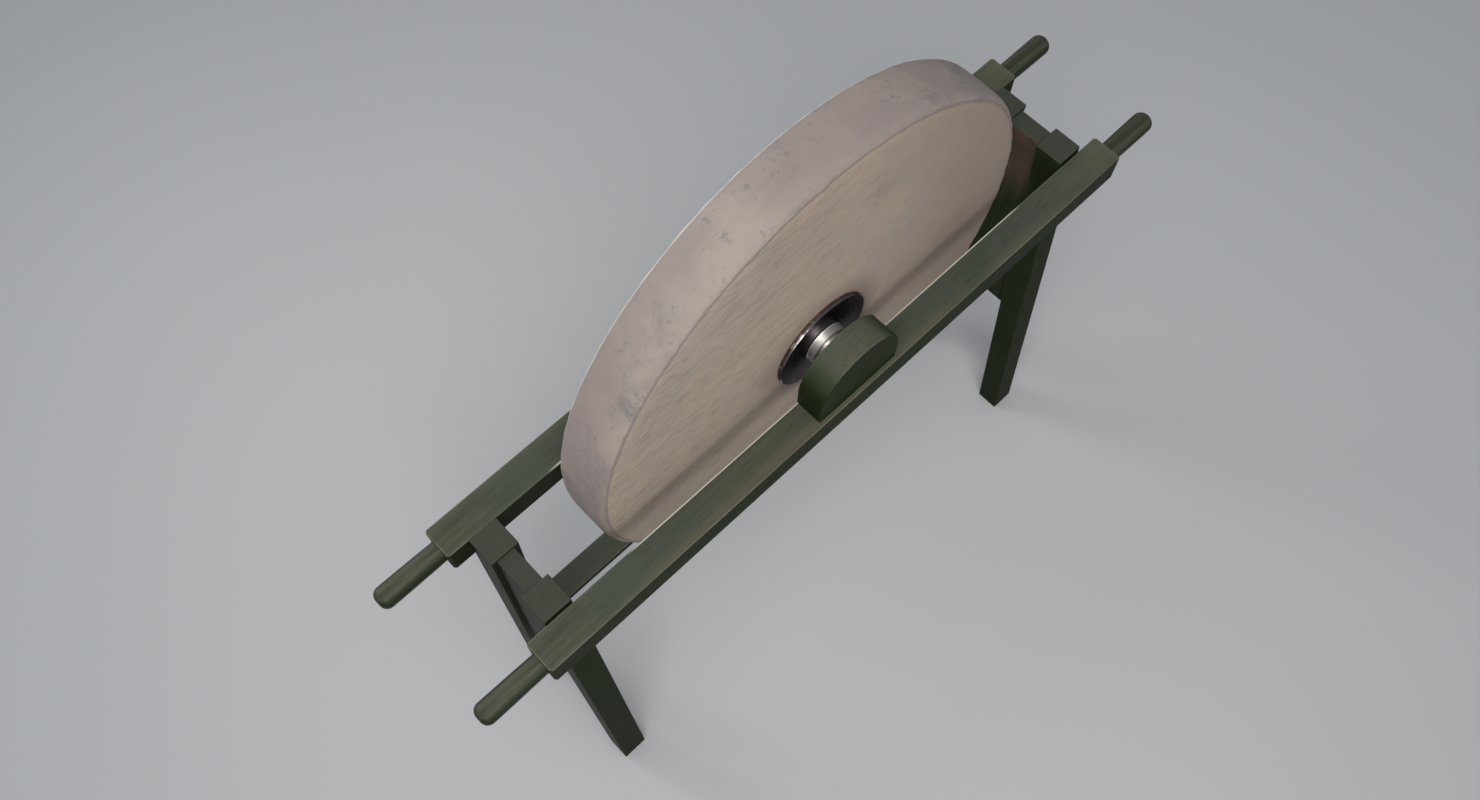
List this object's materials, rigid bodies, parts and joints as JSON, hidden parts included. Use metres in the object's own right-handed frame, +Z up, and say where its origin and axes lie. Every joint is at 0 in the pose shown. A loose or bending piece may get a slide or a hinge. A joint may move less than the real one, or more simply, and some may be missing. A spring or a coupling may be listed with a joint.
{
  "type": "hand cranked wet grindstone",
  "caption": "Large upright grindstone on a steel axle, held between two square rails with carrying handles, on splayed timber legs with a hand crank behind.",
  "frame": {"origin": "on the floor, under the middle of the bounding box", "axes": "+X along the rails, +Y along the axle towards the crank, +Z up"},
  "size_m": [1.184, 0.3518, 1.096],
  "materials": {
    "painted_wood": "dark olive stain, worn at the edges, satin",
    "handle_wood": "dark olive stain, polished by hands",
    "bare_wood": "plain hardwood, unfinished",
    "grip_wood": "oiled hardwood, turned",
    "gritstone": "fine sandstone, dressed rim, streaked faces",
    "dark_steel": "turned and darkly polished",
    "bright_steel": "turned bright steel",
    "plain_steel": "oiled plain steel",
    "forged_iron": "black forged iron",
    "bronze": "oiled bearing bronze",
    "hide": "oiled leather"
  },
  "bodies": {
    "frame": {"near_rail": "painted_wood", "near_bearing_block": "painted_wood", "near_block_screws": "plain_steel", "near_bush": "bronze", "near_left_handle": "handle_wood", "near_left_leg": "painted_wood", "near_right_handle": "handle_wood", "near_right_leg": "painted_wood", "far_rail": "painted_wood", "far_bearing_block": "painted_wood", "far_block_screws": "plain_steel", "far_bush": "bronze", "far_left_handle": "handle_wood", "far_left_leg": "painted_wood", "far_right_handle": "handle_wood", "far_right_leg": "painted_wood", "left_end_board": "painted_wood", "left_leg_dowels": "bare_wood", "left_board_dowels": "bare_wood", "right_end_board": "painted_wood", "right_leg_dowels": "bare_wood", "right_board_dowels": "bare_wood", "far_stretcher": "painted_wood", "stretcher_pegs": "bare_wood", "thrust_pad": "bronze"},
    "rotor": {"axle": "bright_steel", "grindstone": "gritstone", "centre_sleeve": "bare_wood", "drive_key": "plain_steel", "near_flange": "dark_steel", "hub_screw": "plain_steel", "near_packing_washer": "hide", "far_packing_washer": "hide", "far_flange": "dark_steel", "nut_washer": "plain_steel", "flange_nut": "plain_steel", "shaft_collar": "plain_steel", "collar_screw": "plain_steel", "crank_arm": "forged_iron", "crank_washer": "plain_steel", "crank_nut": "plain_steel", "crank_pin": "plain_steel", "grip_washers": "plain_steel"},
    "grip": {"crank_grip": "grip_wood"}
  },
  "joints": [
    {"name": "axle_spin", "type": "hinge", "parent": "frame", "child": "rotor", "pos_m": [0, -0.05412, 0.745], "axis": [0, 1, 0], "continuous": true},
    {"name": "grip_spin", "type": "hinge", "parent": "rotor", "child": "grip", "pos_m": [0, -0.05412, 0.585], "axis": [0, 1, 0], "continuous": true}
  ]
}
